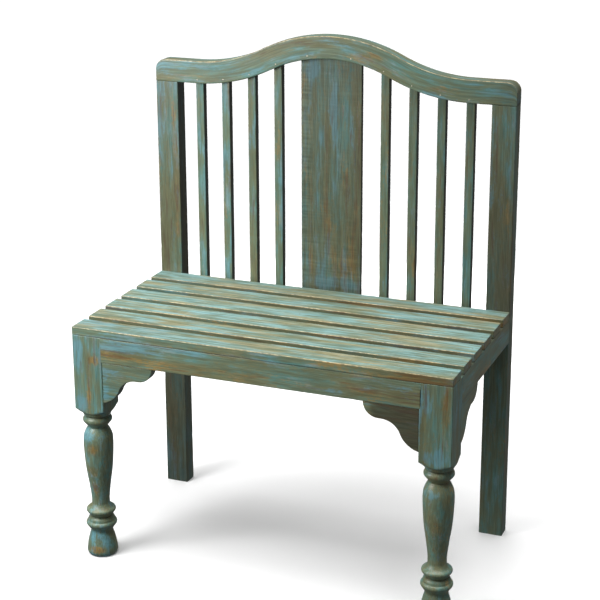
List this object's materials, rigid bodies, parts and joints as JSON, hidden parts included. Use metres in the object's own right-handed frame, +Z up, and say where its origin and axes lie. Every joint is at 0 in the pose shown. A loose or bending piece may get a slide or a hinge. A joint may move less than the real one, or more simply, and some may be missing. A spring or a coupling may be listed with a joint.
{
  "type": "slatted hall bench",
  "caption": "Painted wooden hall bench with a slatted seat, a spindle and splat back under an arched crest rail, and turned front legs.",
  "frame": {"origin": "on the floor, under the middle of the bench's width and depth", "axes": "+X along the bench to the sitter's left (the viewer's right, seen from the front), +Y towards the back, +Z up"},
  "size_m": [0.75, 0.413, 0.9935],
  "materials": {
    "painted_wood": "blue-green paint, brushed thin and rubbed through to olive-brown wood, satin",
    "bare_wood": "sawn, unpainted",
    "painted_brads": "steel brads, filled and painted over with the wood",
    "bright_brads": "steel brads, rubbed bright through the paint",
    "screw_steel": "zinc-plated wood screws"
  },
  "bodies": {
    "root": {"back_splat": "painted_wood", "bracket_front_left": "painted_wood", "bracket_front_right": "painted_wood", "bracket_side_left": "painted_wood", "bracket_side_right": "painted_wood", "crest_rail": "painted_wood", "front_apron": "painted_wood", "front_leg_left": "painted_wood", "front_leg_right": "painted_wood", "rear_post_left": "painted_wood", "rear_post_right": "painted_wood", "rear_rail": "painted_wood", "seat_bearer": "painted_wood", "side_apron_left": "painted_wood", "side_apron_right": "painted_wood", "seat_slat_1": "painted_wood", "seat_slat_2": "painted_wood", "seat_slat_3": "painted_wood", "seat_slat_4": "painted_wood", "seat_slat_5": "painted_wood", "seat_slat_6": "painted_wood", "spindle_1": "painted_wood", "spindle_2": "painted_wood", "spindle_3": "painted_wood", "spindle_4": "painted_wood", "spindle_5": "painted_wood", "spindle_6": "painted_wood", "spindle_7": "painted_wood", "spindle_8": "painted_wood", "corner_block_front_left": "bare_wood", "corner_block_front_right": "bare_wood", "corner_block_rear_left": "bare_wood", "corner_block_rear_right": "bare_wood", "slat_brads": "painted_brads", "crest_brads": "bright_brads", "bracket_brads": "painted_brads", "corner_block_screws": "screw_steel"}
  },
  "joints": []
}
